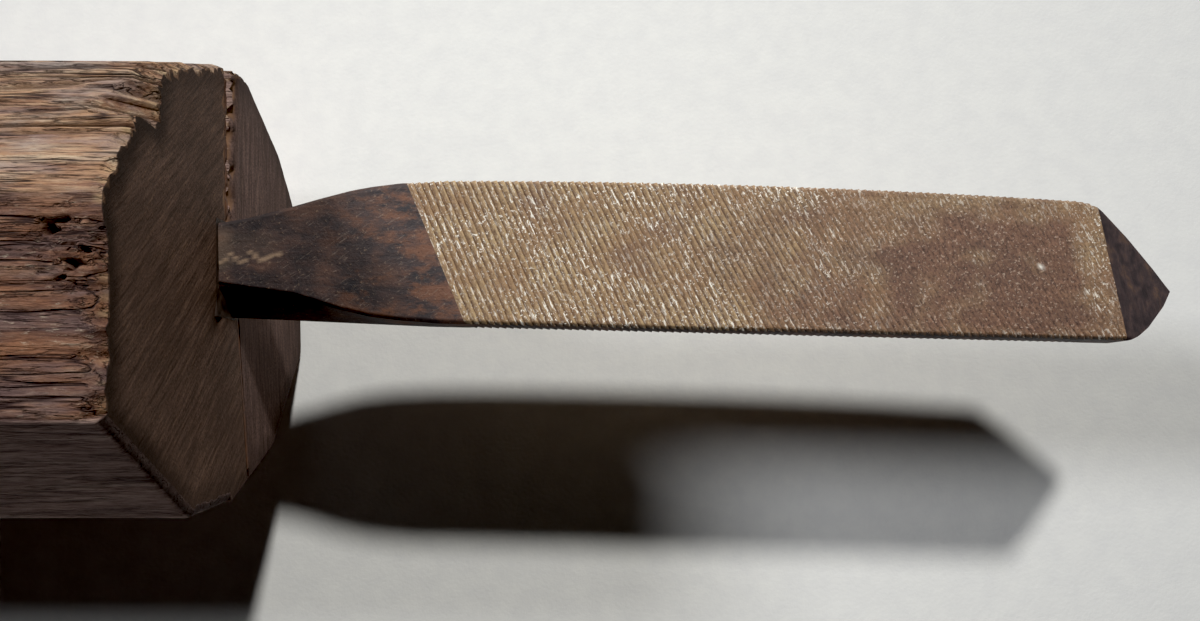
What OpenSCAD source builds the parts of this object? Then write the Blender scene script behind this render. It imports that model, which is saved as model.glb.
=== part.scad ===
// Lino cutter ground from a short flat file, its tang bedded in a cleft wooden handle.
// Millimetres. +X runs along the tool to its point, +Z is up, and the origin lies on the
// flat that the handle rests on, midway along the handle.

/* [Handle] */
// Length of the handle from butt to nose
handle_length = 110; // [90:1:130]
// Height of the handle, from its rest flat to its top flat
handle_height = 32.5; // [30:0.5:36]
// Width of the handle across its two sides
handle_width = 31.2; // [29:0.2:35]
// Roundness of the butt's edge
butt_radius = 7; // [4:0.5:9]
// Degrees by which the saw cut at the nose is off square
nose_skew = 2.9; // [0:0.1:5]

/* [Blade] */
// Distance from the handle's nose to the point
blade_reach = 66.3; // [55:0.1:80]
// Widest part of the file
blade_width = 10.1; // [9:0.1:11.5]
// Thickness of the file
blade_thickness = 3; // [2.5:0.1:3.5]
// Degrees by which the file points down across the handle
blade_turn = 1.4; // [0:0.1:3]
// Length of the ground slope at the point
bevel_run = 5.5; // [4:0.1:7]
// Degrees by which the top of that slope leans from square
bevel_lean = 11; // [0:1:20]

/* [Tang] */
// Length of tang held inside the handle
tang_length = 38; // [25:1:45]
// Width of the tang where it enters the handle
tang_width = 6.2; // [5:0.1:7]
// Width of the tang at its buried end
tang_tip_width = 2.5; // [2.4:0.1:3.5]
// Width of the slope ground along the tang's lower upper edge
tang_slope = 1.7; // [1:0.1:1.8]

/* [Glue] */
// Thickness of the glue film between the two halves
film_thickness = 0.3; // [0.2:0.05:0.5]
// Room round the tang that is filled with bedding glue
bedding_gap = 0.4; // [0.3:0.05:0.6]

/* [Hidden] */

nose_x = handle_length / 2;
reach = 200;  // longer than anything in the tool, for cutting blocks
arc_steps = 5;  // flats in each rounded corner

// The handle's corners as shares of its width and height. The third number is the corner's
// rounding, and the fourth is how far the nose's edge is worn back on the flat that follows.
// They start at the +Y end of the top flat and go down that side first.
section_corners = [
    [0.10, 1.00, 1.2, 0.4],
    [0.405, 0.805, 2.0, 0.3],
    [0.515, 0.51, 1.2, 0.3],
    [0.51, 0.40, 2.0, 0.3],
    [0.395, 0.185, 4.0, 0.3],
    [0.21, 0.00, 2.5, 0.3],
    [-0.11, 0.00, 2.5, 0.3],
    [-0.355, 0.225, 4.0, 0.3],
    [-0.47, 0.48, 3.0, 0.8],
    [-0.485, 0.67, 2.0, 1.0],
    [-0.285, 1.00, 0.8, 0.4],
];

// The tang lies a little below the middle of the file, and the file above that of the handle.
blade_y = 2.7;  // where the file's long axis leaves the nose
blade_z = handle_height / 2 - 0.25;  // middle of the file's thickness
lower_edge = -blade_width * 0.475;  // the file's straight lower edge
upper_edge = blade_width + lower_edge;  // the file's upper edge at its widest
belly_u = 31;  // where along the blade the file is widest
belly_sag = 1300;  // the upper edge falls by u squared over this
heel_u = 14;  // end of the shoulder, start of the full width
shoulder_u = 9;  // corner of the upper shoulder
tang_low = -4.5;  // lower edge of the tang at the nose
tang_high = tang_low + tang_width;
buried_low = -1.6;  // lower edge of the tang at its buried end
tang_end_thin = 0.5;  // how much each face of the tang thins towards its end
point_v = -1;  // where across the file the point lies
point_land = 0.05;  // thickness left at the very point

// The cleft between the halves: level beside the tang's upper edge, sloping below it.
cleft_upper_z = blade_z - 0.1;
cleft_lower_z = blade_z - 1.6;
cleft_fall = 2.2;  // how much lower the cleft is at the left side
cleft_upper_y = tang_high + blade_y - 1.2;
cleft_lower_y = tang_low + blade_y + 1.2;

function unit(v) = v / norm(v);

// Points of an arc that rounds the corner at b, on the way from a to c.
function corner_arc(a, b, c, r) =
    let (
        u = unit(a - b),
        w = unit(c - b),
        half = acos(u * w) / 2,
        centre = b + unit(u + w) * r / sin(half),
        from = b + u * r / tan(half) - centre,
        to = b + w * r / tan(half) - centre,
        turn = atan2(from.x * to.y - from.y * to.x, from * to)
    )
    [for (i = [0 : arc_steps]) let (t = turn * i / arc_steps)
        centre + [from.x * cos(t) - from.y * sin(t), from.x * sin(t) + from.y * cos(t)]];

// A closed outline through the points, each corner rounded by its own radius.
function rounded_outline(at, radii) =
    let (n = len(at))
    [for (i = [0 : n - 1])
        each corner_arc(at[(i + n - 1) % n], at[i], at[(i + 1) % n], radii[i])];

section_points = [for (c = section_corners) [c[0] * handle_width, c[1] * handle_height]];

function upper_edge_at(u) = upper_edge - pow(u - belly_u, 2) / belly_sag;

// ---- Handle ---------------------------------------------------------------

// The handle's cross-section, drawn with y across and z up.
module section() {
    polygon(rounded_outline(section_points, [for (c = section_corners) c[2]]));
}

// Carries a drawing of y and z along X, from the butt past the nose.
module along_handle() {
    translate([-nose_x, 0, 0]) rotate([90, 0, 90])
        linear_extrude(height = handle_length + 5) children();
}

// A turned shape that rounds the butt, and is wider than the handle further forward.
module butt_rounding() {
    wide = 0.66 * handle_height;
    narrow = 0.48 * handle_height;
    run = 30;
    translate([-nose_x, 0.5, handle_height / 2]) rotate([0, 90, 0])
        rotate_extrude($fn = 96)
            polygon(concat(
                [[0, 0]],
                [for (i = [0 : arc_steps * 2]) let (t = 90 * i / (arc_steps * 2))
                    [narrow - butt_radius + butt_radius * sin(t), butt_radius * (1 - cos(t))]],
                [[wide, run], [wide, handle_length + 10], [0, handle_length + 10]]));
}

// Everything behind the slightly skewed saw cut at the nose.
module behind_nose() {
    translate([nose_x, 0, 0]) rotate([0, 0, nose_skew])
        translate([-reach, -reach / 2, -1]) cube([reach, reach, handle_height + 2]);
}

// Blocks that take the sharp edge off the nose, one along each flat of the handle.
module nose_wear() {
    translate([nose_x, 0, 0]) rotate([0, 0, nose_skew])
        for (i = [0 : len(section_points) - 1]) {
            from = section_points[i];
            side = section_points[(i + 1) % len(section_points)] - from;
            translate([0, from.x, from.y]) rotate([atan2(side.y, side.x) + 90, 0, 0])
                translate([0, -section_corners[i][3], 0]) rotate([0, 0, 45])
                    translate([0, -reach / 2, -reach / 2]) cube(reach);
        }
}

module handle_blank() {
    difference() {
        intersection() {
            along_handle() section();
            butt_rounding();
            behind_nose();
        }
        nose_wear();
    }
}

// The side of the cleft above a line that is raised by lift, drawn with y and z.
module above_cleft(lift) {
    polygon([
        [handle_width, cleft_upper_z + lift],
        [cleft_upper_y, cleft_upper_z + lift],
        [cleft_lower_y, cleft_lower_z + lift],
        [-handle_width / 2, cleft_lower_z - cleft_fall + lift],
        [-handle_width, cleft_lower_z - cleft_fall + lift],
        [-handle_width, handle_height * 2],
        [handle_width, handle_height * 2],
    ]);
}

module handle_upper_half() {
    color([0.50, 0.38, 0.31])
        difference() {
            intersection() {
                handle_blank();
                along_handle() above_cleft(film_thickness / 2);
            }
            tang_slot();
        }
}

module handle_lower_half() {
    color([0.36, 0.27, 0.23])
        difference() {
            handle_blank();
            along_handle() above_cleft(-film_thickness / 2);
            tang_slot();
        }
}

// ---- Glue -----------------------------------------------------------------

module seam_glue() {
    color([0.62, 0.55, 0.42])
        difference() {
            intersection() {
                handle_blank();
                along_handle() above_cleft(-film_thickness / 2);
            }
            along_handle() above_cleft(film_thickness / 2);
            tang_slot();
        }
}

// The pocket for the tang, shared between the two halves.
module tang_slot() {
    gap = bedding_gap;
    on_blade_axis()
        translate([0, 0, -gap])
            linear_extrude(height = blade_thickness + 2 * gap)
                polygon([
                    [3, tang_low - gap],
                    [3, tang_high + gap],
                    [-tang_length - gap, buried_low + tang_tip_width + gap],
                    [-tang_length - gap, buried_low - gap],
                ]);
}

module tang_bedding() {
    color([0.55, 0.50, 0.40])
        difference() {
            intersection() {
                tang_slot();
                behind_nose();
            }
            blade_solid();
        }
}

// ---- Blade ----------------------------------------------------------------

// Puts u along the file from the nose, v across it, and its underside at 0.
module on_blade_axis() {
    translate([nose_x, blade_y, blade_z - blade_thickness / 2])
        rotate([0, 0, -blade_turn]) children();
}

// The blade seen from above: tang, shoulders, bellied body and skewed point.
module blade_plan() {
    body_from = heel_u + 1;
    body_to = blade_reach - 7.9;
    polygon(concat(
        [[-tang_length, buried_low + tang_tip_width], [-1, tang_high - 0.1]],
        [[4, tang_high + 1.05], [shoulder_u, upper_edge - 1.0], [shoulder_u + 3, upper_edge - 0.45]],
        [for (i = [0 : 8]) let (u = body_from + (body_to - body_from) * i / 8)
            [u, upper_edge_at(u)]],
        [[blade_reach - 7, 4.55], [blade_reach - 6.5, 4.3], [blade_reach - 3.9, 2.45]],
        [[blade_reach - 1.6, 0.5], [blade_reach, point_v], [blade_reach - 0.8, -2.1]],
        [[blade_reach - 2.6, -3.75], [blade_reach - 3.7, -4.45], [blade_reach - 4.6, lower_edge]],
        [[heel_u, lower_edge], [0, tang_low], [-tang_length, buried_low]]));
}

// The blade seen from the side: only the tang thins.
module blade_side() {
    polygon([
        [-tang_length - 1, tang_end_thin],
        [0, 0],
        [blade_reach + 1, 0],
        [blade_reach + 1, blade_thickness],
        [0, blade_thickness],
        [-tang_length - 1, blade_thickness - tang_end_thin],
    ]);
}

// A block above a plane that starts at [u, v] on the top face, turned in plan and tipped.
module above_slope(u, v, turn, tip) {
    translate([u, v, blade_thickness]) rotate([0, 0, turn]) rotate([tip, 0, 0])
        translate([-reach / 2, -reach, 0]) cube([reach, reach, reach]);
}

// The slope ground along the tang, running out into the full width at the heel.
module tang_slope_waste() {
    steepness = atan2(blade_thickness, tang_slope);
    tang_turn = -atan2(buried_low - tang_low, tang_length);
    flare_turn = -atan2(tang_slope, heel_u - 4);
    intersection() {
        above_slope(4, tang_low + tang_slope - 0.2, tang_turn, steepness);
        above_slope(heel_u + 0.5, lower_edge, flare_turn, steepness);
        translate([-reach / 2, -reach + lower_edge + 3, -1]) cube([reach, reach, reach]);
    }
}

// The slope ground across the end, which leaves the three-sided cutting point.
module point_waste() {
    above_slope(blade_reach - bevel_run, point_v, 90 + bevel_lean,
        atan2(blade_thickness - point_land, bevel_run * cos(bevel_lean)));
}

module blade_solid() {
    on_blade_axis()
        difference() {
            intersection() {
                linear_extrude(height = blade_thickness) blade_plan();
                translate([0, reach / 2, 0]) rotate([90, 0, 0])
                    linear_extrude(height = reach) blade_side();
            }
            tang_slope_waste();
            point_waste();
        }
}

module blade() {
    color([0.55, 0.47, 0.40]) blade_solid();
}

blade();
handle_upper_half();
handle_lower_half();
seam_glue();
tang_bedding();
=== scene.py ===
# %% [markdown]
# # A lino cutter made from an old file
#
# A printmaker made this tool from two things to hand: a short flat file with its end ground
# to a point, and a weathered stick of wood, split and glued round the file's tang. The CAD
# model gives every size. The script dresses each CAD solid with the surface the real piece
# has: cut teeth, rust, cracked grain, saw marks and dried glue.

# %% Load the CAD frame
import math

import bmesh
import bpy
from mathutils import Matrix, Vector, kdtree, noise


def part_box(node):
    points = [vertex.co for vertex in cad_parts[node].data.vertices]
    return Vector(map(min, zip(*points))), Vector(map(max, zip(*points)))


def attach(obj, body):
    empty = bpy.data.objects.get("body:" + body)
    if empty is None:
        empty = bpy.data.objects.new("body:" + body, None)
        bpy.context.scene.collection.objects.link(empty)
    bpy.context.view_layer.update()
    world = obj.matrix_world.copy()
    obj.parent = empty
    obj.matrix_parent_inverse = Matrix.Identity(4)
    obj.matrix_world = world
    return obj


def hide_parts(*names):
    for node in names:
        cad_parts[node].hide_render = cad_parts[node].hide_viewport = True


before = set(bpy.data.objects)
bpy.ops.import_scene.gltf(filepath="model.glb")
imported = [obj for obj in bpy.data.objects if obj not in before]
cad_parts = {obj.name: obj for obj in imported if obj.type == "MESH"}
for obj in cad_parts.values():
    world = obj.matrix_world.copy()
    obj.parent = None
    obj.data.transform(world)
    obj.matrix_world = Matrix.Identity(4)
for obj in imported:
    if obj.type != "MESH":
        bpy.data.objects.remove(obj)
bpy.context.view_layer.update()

MM = 0.001

# %% [markdown]
# ## Sizes that every piece shares
#
# The handle is centred on x = 0, so its butt's place gives its nose's too. The saw cut at the
# nose is a little off square, so the nose's face leans back on the +Y side. The file lies
# flat, turned slightly, between the heights that its CAD box gives.

# %% Places taken from the CAD boxes
upper_low, upper_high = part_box("handle_upper_half")
lower_low, lower_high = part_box("handle_lower_half")
blade_low, blade_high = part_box("blade")
BUTT_X = upper_low.x
NOSE_X = -BUTT_X
HANDLE_HEIGHT = upper_high.z
NOSE_SLOPE = math.tan(math.radians(2.9))
AXIS_Y = 0.5 * MM
AXIS_Z = HANDLE_HEIGHT / 2
SEAM_Z = 15.6 * MM
# The line between the halves, seen on the nose: place across, height, both in mm
CLEFT = [(-15.6, 12.2), (-0.6, 14.4), (3.2, 15.9)]
FILM = 0.3  # thickness of the glue between them, in mm
print("nose at", round(NOSE_X / MM, 2), "mm, handle", round(HANDLE_HEIGHT / MM, 2), "mm high")


# %% Small helpers for shaping
def smooth_step(low, high, value):
    """0 below low, 1 above high, and an easy curve between."""
    t = min(1.0, max(0.0, (value - low) / (high - low)))
    return t * t * (3 - 2 * t)


def ripple(x, y, z, along, across, seed=0.0):
    """Noise drawn out along X like wood grain; the places are in metres, the rates per mm."""
    return noise.noise(Vector((x * along / MM + seed, y * across / MM - seed, z * across / MM + 2 * seed)))


def follow(points, u):
    """Height at u of a smooth curve through the points, flat beyond its ends."""
    if u <= points[0][0]:
        return points[0][1]
    for (u0, v0), (u1, v1) in zip(points, points[1:]):
        if u <= u1:
            return v0 + (v1 - v0) * (u - u0) / (u1 - u0)
    return points[-1][1]


def finish_piece(name, bm, materials, node):
    """Turns the bmesh into a piece that rides on the tool and stands for its CAD node."""
    mesh = bpy.data.meshes.new(name)
    bm.to_mesh(mesh)
    bm.free()
    for material in materials:
        mesh.materials.append(material)
    piece = bpy.data.objects.new(name, mesh)
    bpy.context.scene.collection.objects.link(piece)
    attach(piece, "root")
    if node:
        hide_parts(node)
    triangles = sum(len(face.vertices) - 2 for face in mesh.polygons)
    print(name, "has", triangles, "triangles")
    return piece


# %% [markdown]
# ## Materials
#
# Each finish is a small node tree. Patterns read Object coordinates, so they stay put in the
# piece, and a Mapping node stretches them: long along X for grain, even for rust. The shaping
# steps also leave marks on the vertices, such as how deep a crack goes or how much a tooth is
# worn, and the finishes read those marks, so colour and shape agree.

# %% Node helpers
class Finish:
    """A material under construction, with short calls for the nodes used again and again."""

    def __init__(self, name):
        self.material = bpy.data.materials.new(name)
        self.material.use_nodes = True
        self.tree = self.material.node_tree
        self.shader = self.tree.nodes["Principled BSDF"]
        self.place = self.tree.nodes.new("ShaderNodeTexCoord").outputs["Object"]

    def link(self, value, socket):
        if isinstance(value, bpy.types.NodeSocket):
            self.tree.links.new(value, socket)
        else:
            socket.default_value = value

    def noise(self, scale, detail=4.0, roughness=0.55, turn=(0, 0, 0), distortion=0.0, shift=(0, 0, 0)):
        """Noise from 0 to 1; scale is in features per mm along the axes, turned by the given angles."""
        mapping = self.tree.nodes.new("ShaderNodeMapping")
        mapping.vector_type = "TEXTURE"
        mapping.inputs["Location"].default_value = [s * MM for s in shift]
        mapping.inputs["Rotation"].default_value = turn
        mapping.inputs["Scale"].default_value = [MM / s for s in scale]
        self.tree.links.new(self.place, mapping.inputs["Vector"])
        node = self.tree.nodes.new("ShaderNodeTexNoise")
        node.inputs["Scale"].default_value = 1.0
        node.inputs["Detail"].default_value = detail
        node.inputs["Roughness"].default_value = roughness
        node.inputs["Distortion"].default_value = distortion
        self.tree.links.new(mapping.outputs["Vector"], node.inputs["Vector"])
        return node.outputs["Fac"]

    def mark(self, name):
        """A number that the shaping step left on the vertices."""
        node = self.tree.nodes.new("ShaderNodeAttribute")
        node.attribute_name = name
        return node.outputs["Fac"]

    def ramp(self, value, stops):
        """Colours along a value; each stop is (place, colour)."""
        node = self.tree.nodes.new("ShaderNodeValToRGB")
        elements = node.color_ramp.elements
        for i, (place, colour) in enumerate(stops):
            element = elements[i] if i < 2 else elements.new(place)
            element.position = place
            element.color = (*colour, 1) if len(colour) == 3 else colour
        self.link(value, node.inputs["Fac"])
        return node.outputs["Color"]

    def levels(self, value, low, high, to_low=0.0, to_high=1.0):
        """Stretches low..high to to_low..to_high and stops there."""
        node = self.tree.nodes.new("ShaderNodeMapRange")
        for socket, number in zip(list(node.inputs)[1:5], (low, high, to_low, to_high)):
            socket.default_value = number
        self.link(value, node.inputs["Value"])
        return node.outputs["Result"]

    def hairlines(self, value, width):
        """1 on the lines where a noise passes its middle value, which wander like drying cracks."""
        off = self.sums("ABSOLUTE", self.sums("SUBTRACT", value, 0.5), 0.0)
        return self.levels(off, 0.0, width, 1.0, 0.0)

    def sums(self, kind, a, b):
        """Plain arithmetic on two values."""
        node = self.tree.nodes.new("ShaderNodeMath")
        node.operation = kind
        self.link(a, node.inputs[0])
        self.link(b, node.inputs[1])
        return node.outputs[0]

    def blend(self, share, a, b, kind="MIX"):
        """Colour a where share is 0 and b where it is 1."""
        node = self.tree.nodes.new("ShaderNodeMix")
        node.data_type = "RGBA"
        node.blend_type = kind
        self.link(share, node.inputs["Factor"])
        for value, socket in ((a, node.inputs[6]), (b, node.inputs[7])):
            self.link((*value, 1) if isinstance(value, tuple) and len(value) == 3 else value, socket)
        return node.outputs[2]

    def bump(self, height, depth_mm, under=None):
        """Relief that is depth_mm deep where height runs from 0 to 1."""
        node = self.tree.nodes.new("ShaderNodeBump")
        node.inputs["Strength"].default_value = 1.0
        node.inputs["Distance"].default_value = depth_mm * MM
        self.link(height, node.inputs["Height"])
        if under is not None:
            self.link(under, node.inputs["Normal"])
        return node.outputs["Normal"]

    def done(self, colour, roughness, normal=None, metallic=0.0, specular=0.5):
        self.link(colour, self.shader.inputs["Base Color"])
        self.link(roughness, self.shader.inputs["Roughness"])
        self.link(metallic, self.shader.inputs["Metallic"])
        self.shader.inputs["Specular IOR Level"].default_value = specular
        if normal is not None:
            self.link(normal, self.shader.inputs["Normal"])
        return self.material


# %% [markdown]
# ### Weathered wood
#
# The outside of the handle is bare wood that has dried and cracked along its grain. The flats
# that saw the most weather have gone pale and stringy; the others stay dark and closed. One
# finish covers both, because the mark "weathered" says how far each flat has gone. The mark
# "crack" and the finish's own hairlines paint the cracks and gouges near black: painted shade
# in the recesses that the shaping step cut. The mark "rim" paints shade along the worn edges
# at the nose.

# %% Wood seen from its side
def side_grain():
    f = Finish("weathered_side_grain")
    strands = f.noise((0.13, 1.25, 1.25), detail=10, roughness=0.68, distortion=0.25)
    fibres = f.noise((0.9, 7.5, 7.5), detail=6, roughness=0.74, distortion=0.2)
    hue = f.noise((0.14, 0.60, 0.60), detail=6, roughness=0.62, shift=(3, 1, 8))
    patches = f.noise((0.13, 0.34, 0.34), detail=5, roughness=0.6)
    flecks = f.noise((1.3, 4.6, 4.6), detail=4, roughness=0.7, shift=(1, 2, 3))
    weathered = f.mark("weathered")
    long_cracks = f.hairlines(f.noise((0.040, 0.62, 0.62), detail=3, roughness=0.6, distortion=0.15), 0.024)
    short_cracks = f.hairlines(f.noise((0.14, 1.9, 1.9), detail=4, roughness=0.6, distortion=0.1), 0.030)
    crack_here = f.levels(f.noise((0.07, 0.35, 0.35), detail=3, shift=(9, 2, 4)), 0.36, 0.46)
    pale = f.ramp(strands, [
        (0.33, (0.120, 0.055, 0.038)), (0.43, (0.255, 0.135, 0.085)),
        (0.52, (0.380, 0.230, 0.145)), (0.60, (0.49, 0.34, 0.23)), (0.70, (0.66, 0.52, 0.37))])
    pale = f.blend(f.levels(hue, 0.50, 0.62, 0.0, 0.75), pale, (0.285, 0.205, 0.185))
    pale = f.blend(f.levels(hue, 0.48, 0.38, 0.0, 0.50), pale, (0.430, 0.240, 0.125))
    red = f.ramp(strands, [
        (0.33, (0.060, 0.028, 0.024)), (0.43, (0.130, 0.062, 0.043)),
        (0.52, (0.205, 0.100, 0.064)), (0.61, (0.28, 0.155, 0.100)), (0.72, (0.40, 0.29, 0.21))])
    red = f.blend(f.levels(hue, 0.50, 0.62, 0.0, 0.70), red, (0.135, 0.092, 0.092))
    red = f.blend(f.levels(hue, 0.47, 0.36, 0.0, 0.60), red, (0.285, 0.125, 0.062))
    dark = f.ramp(strands, [
        (0.34, (0.20, 0.125, 0.112)), (0.50, (0.42, 0.287, 0.255)), (0.70, (0.60, 0.44, 0.38))])
    grey = f.blend(f.levels(patches, 0.54, 0.68, 0.0, 0.6), pale, (0.36, 0.325, 0.30))
    colour = f.blend(f.levels(weathered, 0.0, 0.4), dark, red)
    colour = f.blend(f.levels(weathered, 0.45, 0.85), colour, grey)
    colour = f.blend(f.levels(fibres, 0.34, 0.52, 0.60, 0.0), colour, (0.045, 0.024, 0.024))
    colour = f.blend(f.levels(fibres, 0.58, 0.72, 0.0, 0.40), colour, (0.50, 0.38, 0.27))
    flecked = f.sums("MULTIPLY", f.levels(flecks, 0.58, 0.70, 0.0, 0.55), f.levels(patches, 0.44, 0.56))
    flecked = f.sums("MULTIPLY", flecked, f.levels(weathered, 0.1, 0.4))
    colour = f.blend(flecked, colour, (0.56, 0.47, 0.36))
    # Cracks, gouge pits and the mark "crack" are painted near black: painted shade in the recesses.
    cracks_and_shade = f.sums("MULTIPLY", f.sums("MAXIMUM", long_cracks, f.sums("MULTIPLY", short_cracks, 0.7)), crack_here)
    cracks_and_shade = f.sums("MULTIPLY", cracks_and_shade, f.levels(weathered, 0.0, 0.4, 0.55, 1.0))
    cracks_and_shade = f.sums("MAXIMUM", cracks_and_shade, f.levels(f.mark("crack"), 0.25, 0.9))
    colour = f.blend(f.levels(f.mark("torn"), 0.3, 1.1, 0.0, 0.6), colour, (0.42, 0.30, 0.17))
    colour = f.blend(f.levels(cracks_and_shade, 0.1, 0.9, 0.0, 0.93), colour, (0.022, 0.010, 0.010))
    # The rim mark paints a dark band: painted shade on the worn edges at the nose.
    colour = f.blend(f.levels(f.mark("rim"), 0.0, 0.8, 0.0, 0.88), colour, (0.040, 0.024, 0.022))
    normal = f.bump(strands, 0.22)
    normal = f.bump(fibres, 0.06, normal)
    normal = f.bump(flecks, 0.05, normal)
    normal = f.bump(f.levels(cracks_and_shade, 0.0, 1.0, 1.0, 0.0), 0.14, normal)
    return f.done(colour, f.levels(fibres, 0.3, 0.7, 0.92, 0.62), normal, specular=0.3)


WOOD_SIDE = side_grain()


# %% [markdown]
# ### Sawn end grain
#
# The nose was sawn by hand. On the upper half the saw left slanting scratches over the cut
# pores; the lower half was rubbed smoother and has a finer, closer look.

# %% Wood seen from its end
def end_grain(name, scratch_depth, tint, saw_slant):
    f = Finish(name)
    turn = math.radians(saw_slant)
    scratches = f.noise((0.5, 0.24, 3.6), detail=7, roughness=0.70, turn=(turn, 0, 0), distortion=0.15)
    fine = f.noise((0.5, 0.55, 8.0), detail=5, roughness=0.7, turn=(turn + 0.10, 0, 0))
    pores = f.noise((1.0, 6.0, 6.0), detail=4, roughness=0.7)
    broad = f.noise((0.12, 0.16, 0.16), detail=5, roughness=0.6)
    base = f.ramp(scratches, [
        (0.33, tuple(0.50 * c for c in tint)), (0.50, tint), (0.67, tuple(1.70 * c for c in tint))])
    colour = f.blend(f.levels(fine, 0.54, 0.70, 0.0, 0.55), base, tuple(k * c for k, c in zip((2.5, 2.4, 2.0), tint)))
    colour = f.blend(f.levels(pores, 0.32, 0.50, 0.75, 0.0), colour, tuple(0.3 * c for c in tint))
    colour = f.blend(f.levels(pores, 0.58, 0.74, 0.0, 0.6), colour, tuple(k * c for k, c in zip((2.6, 2.5, 2.2), tint)))
    colour = f.blend(f.levels(broad, 0.38, 0.62, 0.5, 0.0), colour, tuple(0.55 * c for c in tint))
    # The rim mark darkens a band along the sawn face's outline: painted shade of its edge.
    colour = f.blend(f.levels(f.mark("rim"), 0.0, 0.9, 0.0, 0.85), colour, tuple(0.22 * c for c in tint))
    colour = f.blend(f.levels(f.mark("torn"), 0.25, 1.0, 0.0, 0.85), colour, (0.24, 0.135, 0.080))
    colour = f.blend(f.levels(f.mark("crack"), 0.2, 0.9), colour, (0.014, 0.008, 0.007))
    normal = f.bump(scratches, scratch_depth)
    normal = f.bump(fine, scratch_depth * 0.3, normal)
    normal = f.bump(pores, scratch_depth * 0.35, normal)
    return f.done(colour, 0.85, normal, specular=0.25)


WOOD_SAWN = end_grain("sawn_end_grain", 0.10, (0.104, 0.065, 0.050), -49)
WOOD_RUBBED = end_grain("rubbed_end_grain", 0.03, (0.118, 0.076, 0.066), 4)


# %% [markdown]
# ### Steel
#
# A file is hard steel that rusts as soon as it is left. The toothed part keeps some shine on
# the crests of its teeth, with brown dirt packed between them; the crests are painted lighter
# and the gullets darker, partly as painted sheen and painted shade, and white glints are painted
# on the crests. A band of painted shade runs along the lower edge of the near face. The smooth
# shank has gone blue and brown all over, with a few rusty spots and light scuffs that are partly
# painted glints, and the ground point is darker still.

# %% Toothed, bare and ground steel
TOOTH_SLANT = math.radians(-66)


def toothed_steel():
    f = Finish("file_teeth")
    crest = f.mark("crest")
    clog = f.mark("clogged")
    dirt = f.noise((0.30, 0.40, 0.3), detail=6, roughness=0.65)
    stain = f.noise((0.16, 0.22, 0.3), detail=5, roughness=0.6, shift=(7, 3, 1))
    speck = f.noise((6.5, 6.5, 6.5), detail=4, roughness=0.78)
    grain = f.noise((2.4, 6.5, 2.0), detail=6, roughness=0.78, turn=(0, 0, TOOTH_SLANT))
    glint = f.noise((1.9, 8.0, 1.0), detail=3, roughness=0.6, turn=(0, 0, TOOTH_SLANT))
    dots = f.noise((6.0, 6.0, 1.0), detail=2, shift=(2, 2, 2))
    cloud = f.noise((0.20, 0.30, 0.3), detail=3, shift=(4, 7, 0))
    height = f.sums("ADD", crest, f.sums("MULTIPLY", f.sums("SUBTRACT", grain, 0.5), 2.3))
    height = f.sums("ADD", height, f.sums("MULTIPLY", f.sums("SUBTRACT", speck, 0.5), 2.0))
    # Gullets darker and crests lighter with the tooth's height: dirt and worn metal, with painted shade in the gullets
    # and a painted sheen on the crests.
    valley = f.blend(f.levels(dirt, 0.35, 0.65), (0.125, 0.070, 0.045), (0.200, 0.115, 0.062))
    top = f.blend(f.levels(dirt, 0.38, 0.60), (0.54, 0.385, 0.215), (0.41, 0.262, 0.145))
    colour = f.blend(f.levels(height, 0.0, 1.05), valley, top)
    colour = f.blend(f.levels(stain, 0.53, 0.66, 0.0, 0.45), colour, (0.16, 0.085, 0.070))
    worn = f.blend(f.levels(height, 0.05, 0.95), (0.042, 0.020, 0.017), (0.285, 0.155, 0.106))
    worn = f.blend(f.levels(dirt, 0.40, 0.60, 0.35, 0.0), worn, (0.070, 0.040, 0.036))
    worn = f.blend(f.levels(dots, 0.60, 0.68, 0.0, 0.5), worn, (0.55, 0.40, 0.30))
    colour = f.blend(f.levels(clog, 0.0, 0.9, 0.0, 0.92), colour, worn)
    # Painted highlights: white glint streaks on the crests, dots, and the listed glint spots.
    painted_glints = f.sums("MULTIPLY", f.levels(glint, 0.575, 0.625), f.levels(crest, 0.35, 0.75, 0.25, 1.0))
    painted_glints = f.sums("MULTIPLY", painted_glints, f.levels(cloud, 0.36, 0.56, 0.45, 1.0))
    painted_glints = f.sums("MULTIPLY", painted_glints, f.levels(clog, 0.2, 0.8, 1.0, 0.0))
    dotted = f.sums("MULTIPLY", f.levels(dots, 0.62, 0.68), f.levels(cloud, 0.40, 0.60, 0.35, 1.0))
    dotted = f.sums("MULTIPLY", dotted, f.levels(clog, 0.25, 0.8, 1.0, 0.12))
    painted_glints = f.sums("MAXIMUM", f.sums("MAXIMUM", painted_glints, dotted), f.mark("glint_spot"))
    colour = f.blend(painted_glints, colour, (1.0, 0.96, 0.88))
    # Near black along the near face's lower edge: painted shade of the blade's shaded side.
    colour = f.blend(f.mark("under"), colour, (0.020, 0.013, 0.013))
    normal = f.bump(speck, 0.08)
    return f.done(colour, f.levels(speck, 0.3, 0.7, 0.28, 0.55), normal, 0.08, specular=0.45)


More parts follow.
